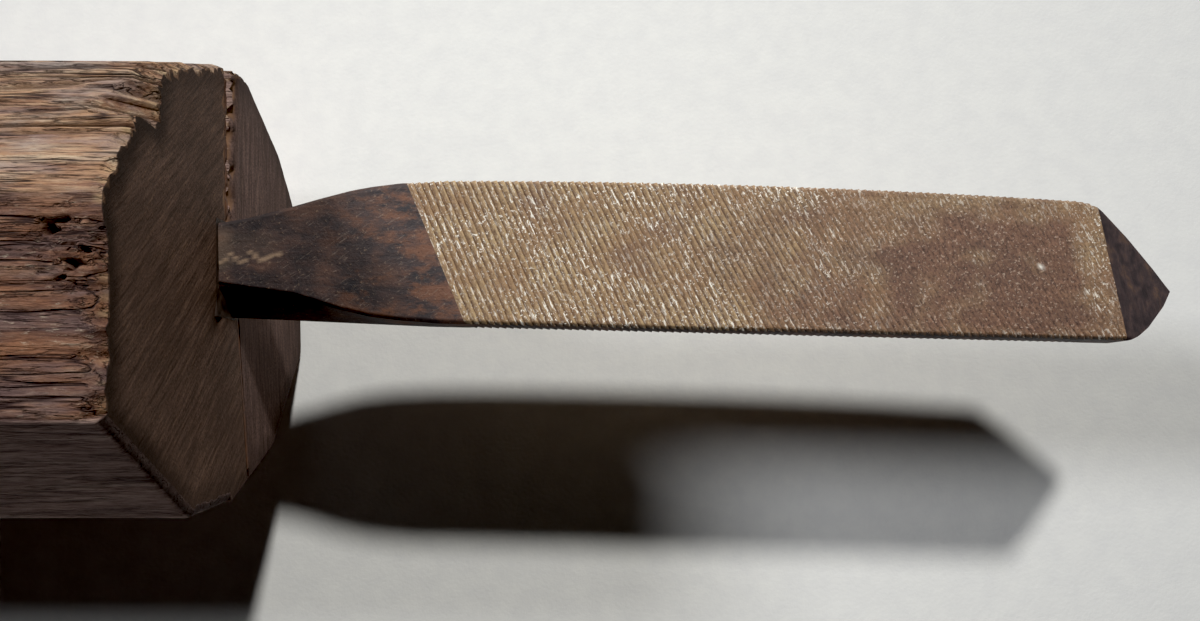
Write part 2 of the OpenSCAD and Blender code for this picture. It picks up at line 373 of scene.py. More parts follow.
def bare_steel():
    f = Finish("bare_shank_steel")
    blotch = f.noise((0.30, 0.42, 0.42), detail=6, roughness=0.62, distortion=0.3)
    streak = f.noise((0.45, 2.2, 2.2), detail=6, roughness=0.7)
    rust = f.noise((0.30, 0.55, 0.55), detail=6, roughness=0.65, shift=(3, 1, 2))
    speck = f.noise((5, 5, 5), detail=3, roughness=0.65)
    scuff_and_glint = f.noise((1.1, 7.0, 7.0), detail=4, roughness=0.7, turn=(0, 0, math.radians(35)))
    colour = f.ramp(blotch, [
        (0.36, (0.032, 0.029, 0.034)), (0.50, (0.070, 0.048, 0.048)), (0.64, (0.130, 0.074, 0.060))])
    colour = f.blend(f.levels(streak, 0.36, 0.60, 0.5, 0.0), colour, (0.022, 0.020, 0.024))
    reddened = f.sums("MULTIPLY", f.levels(rust, 0.50, 0.62, 0.0, 0.80), f.mark("rusty"))
    colour = f.blend(reddened, colour, (0.190, 0.086, 0.052))
    colour = f.blend(f.levels(speck, 0.62, 0.72, 0.0, 0.5), colour, (0.34, 0.24, 0.17))
    colour = f.blend(f.levels(speck, 0.40, 0.30, 0.0, 0.6), colour, (0.018, 0.014, 0.016))
    # Light scuffs: scratched steel, partly a painted glint.
    colour = f.blend(f.levels(scuff_and_glint, 0.60, 0.68, 0.0, 0.35), colour, (0.32, 0.25, 0.21))
    colour = f.blend(f.mark("smear"), colour, (0.36, 0.25, 0.175))
    normal = f.bump(streak, 0.03)
    normal = f.bump(speck, 0.03, normal)
    return f.done(colour, f.levels(blotch, 0.35, 0.65, 0.50, 0.70), normal, 0.2)


def ground_steel():
    f = Finish("ground_point_steel")
    blotch = f.noise((0.9, 0.9, 0.9), detail=6, roughness=0.66, distortion=0.3, shift=(2, 5, 0))
    grit = f.noise((3.0, 0.9, 3.0), detail=5, roughness=0.65, turn=(0, 0, math.radians(12)))
    colour = f.ramp(blotch, [
        (0.36, (0.038, 0.028, 0.032)), (0.52, (0.085, 0.058, 0.060)), (0.63, (0.135, 0.083, 0.066)),
        (0.74, (0.24, 0.135, 0.080))])
    colour = f.blend(f.levels(grit, 0.40, 0.60, 0.5, 0.0), colour, (0.030, 0.021, 0.024))
    return f.done(colour, f.levels(grit, 0.3, 0.7, 0.42, 0.62), f.bump(grit, 0.03), 0.2)


STEEL_TEETH, STEEL_BARE, STEEL_GROUND = toothed_steel(), bare_steel(), ground_steel()


# %% Dried glue
def dried_glue(name, colour, pale):
    f = Finish(name)
    lumps = f.noise((1.2, 1.2, 1.2), detail=4)
    mixed = f.blend(f.levels(lumps, 0.35, 0.65), colour, pale)
    return f.done(mixed, f.levels(lumps, 0.3, 0.7, 0.55, 0.85), f.bump(lumps, 0.08))


GLUE_FILM = dried_glue("seam_glue_brown", (0.060, 0.028, 0.018), (0.15, 0.070, 0.040))
# The packing's glue is coloured near black: painted shade of the crevice round the tang.
GLUE_BED_SHADED = dried_glue("bedding_glue", (0.020, 0.013, 0.011), (0.060, 0.038, 0.029))

# %% [markdown]
# ## The two halves of the handle
#
# Each half is a long whittled stick, flat on the side that meets the other. A slice through
# the CAD solid gives its outline, so the Blender piece can't drift from it. The outline is cut
# into fine steps, extruded to the handle's length and divided into rows. The rows crowd
# together near the nose, where the eye goes, and spread out behind it. After that it is carving:
# vertices move inwards only, so the piece never leaves the CAD box.

# %% Slice an outline out of a CAD node
SLICE_X = NOSE_X - 4 * MM
SLOT_Y = 1.7 * MM  # middle of the tang's slot at that slice


def outline_of(node):
    """The edges where the plane x = SLICE_X cuts the node."""
    bm = bmesh.new()
    bm.from_mesh(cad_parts[node].data)
    bmesh.ops.remove_doubles(bm, verts=bm.verts, dist=0.001 * MM)
    bmesh.ops.bisect_plane(
        bm, geom=bm.verts[:] + bm.edges[:] + bm.faces[:], plane_co=(SLICE_X, 0, 0),
        plane_no=(1, 0, 0), clear_inner=True, clear_outer=True)
    bmesh.ops.remove_doubles(bm, verts=bm.verts, dist=0.05 * MM)
    return bm


def is_inner(edge):
    """Whether an outline edge belongs to the glued face or the tang's slot."""
    a, b = edge.verts[0].co, edge.verts[1].co
    middle, run = (a + b) / 2, b - a
    level = abs(run.z) < 0.5 * run.length
    near_slot = abs(middle.y - SLOT_Y) < 5 * MM
    return 11 * MM < middle.z < 18.5 * MM and (level or near_slot)


def cut_finer(bm, edges, pitch):
    """Divides each edge into steps no longer than the pitch."""
    groups = {}
    for edge in edges:
        groups.setdefault(int(edge.calc_length() / pitch), []).append(edge)
    for cuts, group in groups.items():
        if cuts:
            bmesh.ops.subdivide_edges(bm, edges=group, cuts=cuts)


# %% Rows along the handle
BUTT_RADIUS = 7 * MM


def row_places():
    """Distances of the rows from the nose, growing from hairline to coarse."""
    places, step = [0.0], 0.05 * MM
    while places[-1] < 2 * NOSE_X - 12 * MM:
        places.append(places[-1] + step)
        limit = 0.30 * MM if places[-1] < 19 * MM else 1.3 * MM
        step = min(step * 1.12, limit)
    left = 2 * NOSE_X - places[-1]
    turns = 14
    places += [places[-1] + left * math.sin(math.pi / 2 * (i + 1) / turns) for i in range(turns)]
    return places


ROWS = row_places()
print(len(ROWS), "rows along the handle")


# %% Extrude the outline and set out its rows
def stick_from(node, skin_pitch, seam_pitch):
    """A closed stick whose section is the node's outline, with its rows set out."""
    bm = outline_of(node)
    inner = [e for e in bm.edges if is_inner(e)]
    outer = [e for e in bm.edges if not is_inner(e)]
    skin = bm.verts.layers.float.new("skin")
    outward = bm.verts.layers.float_vector.new("outward")
    cut_finer(bm, outer, skin_pitch)
    cut_finer(bm, inner, seam_pitch)
    for v in bm.verts:
        flank = [e for e in v.link_edges if not is_inner(e)]
        v[skin] = 1.0 if flank else 0.0
        lean = Vector()
        for e in flank:
            run = e.other_vert(v).co - v.co
            side = Vector((0, run.z, -run.y)).normalized()
            lean += side if side.dot(v.co - Vector((v.co.x, AXIS_Y, AXIS_Z))) > 0 else -side
        v[outward] = lean.normalized() if flank else lean
    cap = bmesh.ops.edgeloop_fill(bm, edges=bm.edges)["faces"][0]
    bmesh.ops.translate(bm, vec=(-SLICE_X, 0, 0), verts=bm.verts)
    extruded = bmesh.ops.extrude_face_region(bm, geom=[cap])["geom"]
    bmesh.ops.translate(bm, vec=(1, 0, 0), verts=[g for g in extruded if isinstance(g, bmesh.types.BMVert)])
    long_edges = [e for e in bm.edges if abs(e.verts[0].co.x - e.verts[1].co.x) > 0.5]
    bmesh.ops.subdivide_edges(bm, edges=long_edges, cuts=len(ROWS) - 2)
    for v in bm.verts:
        row = round(v.co.x * (len(ROWS) - 1))
        v.co.x = NOSE_X - ROWS[row]
    sawn = bm.faces.layers.int.new("sawn")
    for f in bm.faces:
        f[sawn] = int(min(v.co.x for v in f.verts) > NOSE_X - 0.001 * MM)
    bmesh.ops.recalc_face_normals(bm, faces=bm.faces)
    return bm


# %% [markdown]
# ### Gridding the sawn face
#
# The nose's face comes out of the extrusion as a single many-sided face, with nothing inside
# it to move. Slicing it with the bisect operator, over and over at small steps, lays a grid of
# squares on it. Those can then carry the torn edges along the seam and the saw's unevenness.

# %% Cut a grid into the nose's face
def grid_the_nose(bm, pitch, seam_heights):
    """Cuts the nose's cap into squares, finer near the seam."""
    sawn = bm.faces.layers.int["sawn"]
    cuts = []
    y = -17 * MM
    while y < 17 * MM:
        cuts.append(((0, y, 0), (0, 1, 0)))
        y += pitch
    z = pitch
    while z < HANDLE_HEIGHT:
        cuts.append(((0, 0, z), (0, 0, 1)))
        near_seam = seam_heights[0] < z < seam_heights[1]
        z += pitch * (0.45 if near_seam else 1.0)
    for place, across in cuts:
        cap = [f for f in bm.faces if f[sawn]]
        edges = {e for f in cap for e in f.edges}
        verts = {v for f in cap for v in f.verts}
        bmesh.ops.bisect_plane(
            bm, geom=list(verts) + list(edges) + cap, plane_co=place, plane_no=across, dist=0.002 * MM)
    marks = [bm.verts.layers.float[name] for name in ("skin", "crack", "weathered", "torn")]
    for v in bm.verts:
        if all(f[sawn] for f in v.link_faces):
            for mark in marks:
                v[mark] = 0.0


# %% [markdown]
# ### Carving the weather into the skin
#
# Grain makes everything long and thin: cracks, ridges and fibres all run with X. Cracks are cut
# where a stretched noise crosses zero, which gives long wandering lines; fibres are a second,
# finer noise. The depth follows how weathered a flat is, and that follows which way it faces.

# %% How weathered each flat is
def weathering(outward):
    """From 0 for closed dark wood to 1 for pale cracked wood, by the way the flat faces."""
    angle = math.degrees(math.atan2(outward.z, outward.y))
    pale = smooth_step(-25, 8, angle) * (1 - smooth_step(70, 78, angle))
    top = smooth_step(70, 78, angle) * (1 - smooth_step(115, 125, angle))
    return max(pale, 0.42 * top, 0.06)


def crack_lines(x, y, z, seed):
    """1 in the middle of a crack, 0 away from it."""
    wander = 0.35 * ripple(x, y, z, 0.05, 0.15, seed + 7)
    n = ripple(x, y, z + wander * MM, 0.013, 0.42, seed)
    fine = ripple(x, y, z + wander * MM, 0.030, 1.0, seed + 3)
    patchy = smooth_step(-0.30, 0.05, ripple(x, y, z, 0.06, 0.16, seed + 11))
    wide = 1 - smooth_step(0.01, 0.065, abs(n))
    thin = 1 - smooth_step(0.03, 0.12, abs(fine))
    return max(wide, 0.65 * thin) * patchy * smooth_step(4 * MM, 14 * MM, x - BUTT_X)


# Gouges in the top flat: how far behind the nose, across, half length, half width, depth
GOUGES = [(2.9, 1.2, 0.55, 0.50, 0.9), (2.0, 1.55, 0.8, 0.22, 0.6), (1.9, 0.3, 0.7, 0.20, 0.5), (1.6, -0.7, 0.8, 0.30, 0.8),
          (2.4, -1.5, 0.8, 0.22, 0.5), (1.3, -1.9, 0.5, 0.2, 0.4), (1.0, 0.1, 0.5, 0.16, 0.35)]


def gouge_depth(x, y):
    """Depth in mm of the gouges at a place on the top flat."""
    depth = 0.0
    warp = noise.noise(Vector((x / MM * 1.1, y / MM * 2.2, 3.0)))
    rough = noise.noise(Vector((x / MM * 2.1, y / MM * 5.5, 8.0)))
    for behind, across, half_long, half_wide, deep in GOUGES:
        a = ((NOSE_X - x) / MM - behind + 0.5 * warp) / half_long
        b = (y / MM - across - 0.35 * a * abs(a) * half_wide + 0.35 * warp + 0.12 * rough) / half_wide
        depth = max(depth, deep * (1 - smooth_step(0.15, 1.2, math.hypot(a, b))) * (0.8 + 0.8 * rough))
    torn_zone = 1 - smooth_step(0.5, 1.1, math.hypot(((NOSE_X - x) / MM - 2.0) / 2.6, (y / MM + 0.1) / 3.2))
    return depth + 0.30 * torn_zone * max(0.0, 0.25 + rough)


# %% How far the nose's edge is worn at each flat
# Broken edge of the sloping flat and the top flat: place across, depth in mm
BROKEN_EDGE = [(-9, 0.75), (-8.4, 0.60), (-7.3, 0.40), (-5.5, 0.80), (-4.2, 0.55), (-2.2, 0.75), (-0.8, 0.60),
               (0.3, 0.65), (1.4, 0.25), (2.2, 0.02), (3.1, 0.05), (4.3, 0.08), (4.5, 0.32), (5.3, 0.12), (5.5, 0.02),
               (6.1, 0.02), (6.3, 0.50), (7.0, 0.38), (7.5, 0.15), (8.40, 0.15), (8.60, 1.80), (9.0, 1.95),
               (9.7, 1.75), (9.85, 1.30), (10.8, 1.25), (11.0, 0.85), (12.4, 0.80), (13.2, 0.45), (16, 0.25)]


def nose_wear(y, z, outward, seed):
    """Depth in mm of the worn or chipped edge where a flat meets the nose."""
    angle = math.degrees(math.atan2(outward.z, outward.y))
    small = noise.noise(Vector((y / MM * 1.7, z / MM * 1.7 + seed, seed + 5)))
    small += 0.35 * noise.noise(Vector((y / MM * 4.1, z / MM * 4.1 + seed, seed + 5)))
    if z < SEAM_Z:
        return 0.18 + 0.03 * small
    if angle < 118:
        return max(0.04, follow(BROKEN_EDGE, y / MM) + (0.20 if y < 10.5 * MM else 0.10) * small)
    return max(0.06, 0.35 + 0.25 * smooth_step(118, 150, angle) + 0.06 * small)


def worn_profile(behind, wear, broken):
    """How deep the wear goes at a distance behind the nose: rounded, or a slope where wood broke off."""
    if broken:
        return wear * max(0.0, 1 - behind / (1.5 * wear + 0.2)) ** 1.15
    curl = max(0.0, 1 - behind / wear)
    return wear * (1 - math.sqrt(max(0.0, 1 - curl * curl)))


# %% Carve one half
def butt_limit(x):
    """How far from the axis the wood may reach near the rounded butt."""
    behind = x - BUTT_X
    narrow, wide = 0.48 * HANDLE_HEIGHT, 0.66 * HANDLE_HEIGHT
    if behind < BUTT_RADIUS:
        return narrow - BUTT_RADIUS + math.sqrt(max(0.0, behind * (2 * BUTT_RADIUS - behind)))
    return narrow + (wide - narrow) * (behind - BUTT_RADIUS) / (30 * MM - BUTT_RADIUS)


def carve(bm, seed):
    """Weathers the skin, wears the nose, rounds the butt and leaves marks for the finishes."""
    skin, outward = bm.verts.layers.float["skin"], bm.verts.layers.float_vector["outward"]
    crack_shade_mark = bm.verts.layers.float.new("crack")
    weather_mark = bm.verts.layers.float.new("weathered")
    torn_mark = bm.verts.layers.float.new("torn")
    rim_shade_mark = bm.verts.layers.float.new("rim")
    tang_end = NOSE_X - 38 * MM
    is_upper = max(v.co.z for v in bm.verts) > 0.9 * HANDLE_HEIGHT
    for v in bm.verts:
        x, y, z = v.co
        behind = (NOSE_X - x) / MM
        if v[skin] > 0.5:
            face = v[outward].normalized()
            worn = weathering(face)
            if face.z > 0.9:
                worn += 0.22 * smooth_step(1.5, 4.0, y / MM)
            crack = crack_lines(x, y, z, seed) * (0.25 + 0.75 * worn)
            fibre = ripple(x, y, z, 0.10, 2.3, seed + 1)
            lump = ripple(x, y, z, 0.05, 0.11, seed + 2)
            depth = 0.10 + 0.10 * lump + 0.45 * crack * worn + 0.07 * fibre * (0.3 + worn)
            if face.z > 0.9:
                pit = gouge_depth(x, y)
                depth += pit
                # Gouge pits join the crack mark, which paints shade in them.
                crack = max(crack, min(1.0, pit / 0.6))
            wear = nose_wear(y, z, face, seed)
            broken = z > SEAM_Z and face.y > -0.45
            chip = worn_profile(behind, wear, broken)
            if not broken:
                # On rounded edges the rim mark paints shade where the wear curves away at the nose.
                v[rim_shade_mark] = smooth_step(0.0, 0.3, chip / wear) * (1 - smooth_step(1.0, 1.6, behind))
            straight_down = Vector((0, 0.08, 1)) / max(0.6, face.z)
            sloping = smooth_step(0.3, 0.5, face.y) * (1 - smooth_step(12.4, 13.4, y / MM)) * (z > SEAM_Z)
            v.co -= face * depth * MM + face.lerp(straight_down, sloping) * chip * MM
            v[crack_shade_mark], v[weather_mark] = crack, worn
            ridge = 0.5 + fibre + 0.8 * noise.noise(Vector((y / MM * 1.3, z / MM * 1.3, seed)))
            v[torn_mark] = (1 - smooth_step(0.1, 0.9, behind)) * smooth_step(0.2, 0.5, worn) * ridge
        elif x < tang_end:
            closed = (follow(CLEFT, y / MM) + (FILM / 2 if is_upper else -FILM / 2)) * MM
            v.co.z += (closed - v.co.z) * 0.99 * smooth_step(0, 4 * MM, tang_end - x)
        reach = Vector((0, v.co.y - AXIS_Y, v.co.z - AXIS_Z))
        limit = butt_limit(x)
        if reach.length > limit:
            v.co -= reach * (1 - limit / reach.length)
            for _ in range(0 if is_upper else 3):
                top = (follow(CLEFT, v.co.y / MM) - FILM / 2) * MM
                if v.co.z > top - 0.01 * MM:
                    v.co.z = top
                    v.co.y = AXIS_Y + math.copysign(math.sqrt(limit ** 2 - (top - AXIS_Z) ** 2), reach.y)


# %% Shape the sawn face
def roughen_nose(bm, seed, torn_depth, proud):
    """Moves the sawn face's points: a slight dish, a soft edge and torn fibres at the seam."""
    torn_mark = bm.verts.layers.float["torn"]
    crack_shade_mark = bm.verts.layers.float["crack"]
    rim_shade_mark = bm.verts.layers.float["rim"]
    skin = bm.verts.layers.float["skin"]
    sawn = bm.faces.layers.int["sawn"]
    face_points = [v for v in bm.verts if NOSE_X - v.co.x < 0.001 * MM]
    rim = [v for v in face_points if v[skin] > 0.5]
    nearest = kdtree.KDTree(len(rim))
    for i, v in enumerate(rim):
        nearest.insert(v.co, i)
    nearest.balance()
    # The rim mark paints shade in a band about 2 mm wide along the sawn face's outline.
    for v in face_points:
        away = nearest.find(v.co)[2] / MM
        patch = noise.noise(Vector((v.co.y / MM * 0.8, v.co.z / MM * 0.8, seed)))
        left = smooth_step(19, 29, v.co.z / MM) if proud == 0 else 0.2
        v[rim_shade_mark] = (1 - smooth_step(0.1, 1.9 + 1.2 * patch, away)) * (0.45 + 0.55 * left)
    for v in bm.verts:
        behind = (NOSE_X - v.co.x) / MM
        if behind < 3:
            y, z = v.co.y / MM, v.co.z / MM
            off_seam = abs(z - follow(CLEFT, y))
            crumbs = noise.noise(Vector((y * 1.1 + seed, z * 1.6, 0))) + 0.6 * noise.noise(Vector((y * 3.3, z * 3.3, seed)))
            torn = max(0.0, 0.35 + crumbs) * (1 - smooth_step(0.2, 1.1, off_seam)) * smooth_step(1.5, 5, y)
            edge = (1 - smooth_step(0.0, 0.5, off_seam)) * 0.10 * smooth_step(0.5, 2.5, y)
            hole = 1 - smooth_step(0.2, 1.2, math.hypot((y + 2.4) / 1.5, (z - 17.7) / 0.9))
            dish = 0.03 + 0.03 * noise.noise(Vector((y * 0.4, z * 0.4, seed)))
            sunk = torn_depth * torn + edge + 0.15 * hole + dish - proud * 0.032 * max(0.0, y)
            v.co.x -= sunk * (1 - smooth_step(0, 3, behind)) * MM
            if behind < 0.001 or (v[skin] < 0.5 and behind < 1):
                v[torn_mark] = max(v[torn_mark], smooth_step(0.05, 0.40, torn * (0.8 + crumbs)))
                # What the mark "crack" gets here is painted near black: painted shade in the pit beside the tang, under
                # the torn fibres, and on the joint's inner faces, which also carry glue stain.
                shadowed = smooth_step(0.25, 0.55, 0.2 - crumbs) * smooth_step(0.15, 0.5, torn_depth * torn)
                inside = v[skin] < 0.5 and any(not f[sawn] for f in v.link_faces)
                glued = 0.95 * (1 - smooth_step(0.8, 2.5, y)) if inside else 0.0
                v[crack_shade_mark] = max(0.5 * hole, 0.8 * shadowed, glued)
        v.co.x -= NOSE_SLOPE * v.co.y * (1 - smooth_step(0, 20, behind))


# %% Make both halves
def make_half(node, name, seed, skin_pitch, end_finish, torn_depth, proud):
    bm = stick_from(node, skin_pitch, 0.3 * MM)
    carve(bm, seed)
    grid_the_nose(bm, 0.45 * MM, (13 * MM, 17.5 * MM))
    roughen_nose(bm, seed, torn_depth, proud)
    bm.normal_update()
    sawn = bm.faces.layers.int["sawn"]
    bmesh.ops.triangulate(bm, faces=[f for f in bm.faces if f.normal.x < -0.999])
    for f in bm.faces:
        f.smooth = f.normal.x > -0.999
        middle = f.calc_center_median()
        turned = 1 - (middle.x - BUTT_X) / BUTT_RADIUS
        wander = 0.15 * noise.noise(Vector((middle.y / MM * 0.5, middle.z / MM * 0.5, seed)))
        f.material_index = 1 if f[sawn] or turned > 0.45 + wander else 0
    for e in bm.edges:
        e.smooth = len({f[sawn] for f in e.link_faces}) < 2
    return finish_piece(name, bm, [WOOD_SIDE, end_finish], node)


upper_half = make_half(
    "handle_upper_half", "upper_half_wood", 3.1, 0.17 * MM, WOOD_SAWN, 0.10, 0.0)
lower_half = make_half(
    "handle_lower_half", "lower_half_wood", 8.4, 0.22 * MM, WOOD_RUBBED, 0.75, 1.0)

# %% [markdown]
# ## The blade
#
# The file is one forging, so it is one piece. Think of it as a cloth woven of rows, each
# running across the blade from its upper edge to its lower edge. On the tang the rows run
# square; over the teeth each row lies along a tooth, four rows to a tooth, so the teeth come
# out crisp from few faces; past them the rows swing round to the ground slope and close up at
# the point. The grid operator makes the cloth, an extrusion gives it its far face and edges.

# %% The file's outline, in mm along and across its own axis
BLADE_TURN = math.radians(-1.4)
BLADE_Y = 2.7 * MM
THICKNESS = (blade_high.z - blade_low.z) / MM
REACH = 66.28
UPPER_EDGE = ([(-38, 0.9), (-1, 1.6), (1.5, 2.1), (4, 2.8), (6.5, 3.6), (8.6, 4.22), (10, 4.52), (12, 4.82), (15, 5.08)]
              + [(u, 5.3 - (u - 31) ** 2 / 1300) for u in range(18, 58, 3)]
              + [(58.4, 4.72), (59.2, 4.58), (59.8, 4.32), (REACH - 3.9, 2.45), (REACH - 1.6, 0.5), (REACH, -1.0)])
LOWER_NEAR = [(-38, -0.5), (0, -2.5), (2.1, -2.8), (4.1, -3.0), (5.2, -3.15), (6.2, -3.42), (8.2, -3.98), (10.3, -4.42),
              (12.3, -4.63), (15, -4.78), (61.7, -4.8), (REACH - 3.7, -4.45), (REACH - 2.6, -3.75),
              (REACH - 0.8, -2.1), (REACH, -1.0)]
LOWER_FAR = [(-38, -1.6), (0, -4.5), (14, -4.8)] + LOWER_NEAR[10:]

# %% Rows across the file
TOOTH_PITCH, TOOTH_SPREAD = 0.479, 0.0334  # at the upper edge, and its growth to the lower one
FIRST_TOOTH, FIRST_SLANT = 12.4, 4.4
LAST_FULL_TOOTH = 87
HINGE = (59.8, 61.6)  # the upper and lower ends of the line where the ground slope starts
TOOTH_STEPS = (0.02, 0.42, 0.80, 0.90)  # foot, back, and the two sides of the worn crest


def tooth_row(number):
    """Where a tooth's line meets the upper and the lower edge."""
    upper = FIRST_TOOTH + TOOTH_PITCH * number
    return upper, upper + FIRST_SLANT + TOOTH_SPREAD * number


def file_rows():
    """The upper and lower end of every row, from the buried tang to the point."""
    rows = [(-38 + 38 * i / 12, -38 + 38 * i / 12) for i in range(12)]
    shank = 44
    first = tooth_row(0.02)
    rows += [(first[0] * i / shank, first[1] * i / shank) for i in range(shank)]
    rows += [tooth_row(n + s) for n in range(LAST_FULL_TOOTH) for s in TOOTH_STEPS]
    last = tooth_row(LAST_FULL_TOOTH)
    fan = 46
    rows += [(last[0] + (HINGE[0] - last[0]) * i / fan, last[1] + (HINGE[1] - last[1]) * i / fan) for i in range(fan)]
    slope = 16
    rows += [(HINGE[0] + (REACH - HINGE[0]) * i / slope, HINGE[1] + (REACH - HINGE[1]) * i / slope)
             for i in range(slope + 1)]
    return rows


FILE_ROWS = file_rows()
print(len(FILE_ROWS), "rows along the blade")


# %% Which tooth a place belongs to
def tooth_number(u, v):
    """Counts teeth from the heel; the fraction says how far through a tooth the place is."""
    number = (u - FIRST_TOOTH - FIRST_SLANT / 2) / (TOOTH_PITCH + TOOTH_SPREAD / 2)
    for _ in range(4):
        upper, lower = tooth_row(number)
        top, bottom = follow(UPPER_EDGE, upper), follow(LOWER_FAR, lower)
        down = (top - v) / (top - bottom)
        number = (u - FIRST_TOOTH - FIRST_SLANT * down) / (TOOTH_PITCH + TOOTH_SPREAD * down)
    return number


def tooth_height(number):
    """From 0 in the gullet to 1 on the crest: a long back and a short steep front."""
    part = number - math.floor(number)
    if part < 0.80:
        return (part / 0.80) ** 1.2
    return 1.0 if part < 0.90 else 1 - (part - 0.90) / 0.10


# %% Weave, thicken and shape the blade
COLUMNS = 54
BEVEL_LEAN = math.radians(11)
BEVEL_START = REACH - 5.5
BEVEL_FALL = (THICKNESS - 0.05) / (5.5 * math.cos(BEVEL_LEAN))
TOOTH_DEPTH = 0.115


def column_share(column):
    """How far across the blade a column lies, closer together at the two edges."""
    t = column / COLUMNS
    return t - 0.09 * math.sin(2 * math.pi * t) / (2 * math.pi) * 6


# Where glue crept along the shank: places along and across its axis, in mm
GLUE_TRAIL = [(-0.5, -1.3), (0.3, -0.83), (0.75, -0.27), (1.25, -1.02), (1.7, -0.8), (2.1, 0.0), (2.5, -0.8),
              (3.0, -0.7), (3.4, -0.5), (3.85, -0.3)]
# Painted glint spots on the near face: place along, across, and radius, in mm.
PAINTED_GLINT_SPOTS = [(55.8, 0.12, 0.22), (58.9, -1.6, 0.10), (59.6, -2.6, 0.10), (46.0, 2.2, 0.12)]


def glue_smear(u, across):
    """How much dried glue covers the shank's near face at a place."""
    if u > 4.2 or u < -0.5:
        return 0.0
    n = noise.noise(Vector((u * 2.3, across * 2.3, 4.0)))
    off = abs(across - follow(GLUE_TRAIL, u)) + 0.10 * n
    line = 0.95 * (1 - smooth_step(0.04, 0.24, off)) * smooth_step(-0.6, 0.0, n + 0.2)
    above = smooth_step(-0.2, 0.3, across - follow(GLUE_TRAIL, u)) * (1 - smooth_step(0.8, 1.6, across))
    blob = (1 - smooth_step(0.1, 1.3 + 0.8 * n, u)) * (1 - smooth_step(0.9, 1.9, abs(across + 0.1)))
    return max(line, 0.08 * above * (1 - smooth_step(3.0, 4.2, u)), 0.26 * blob)


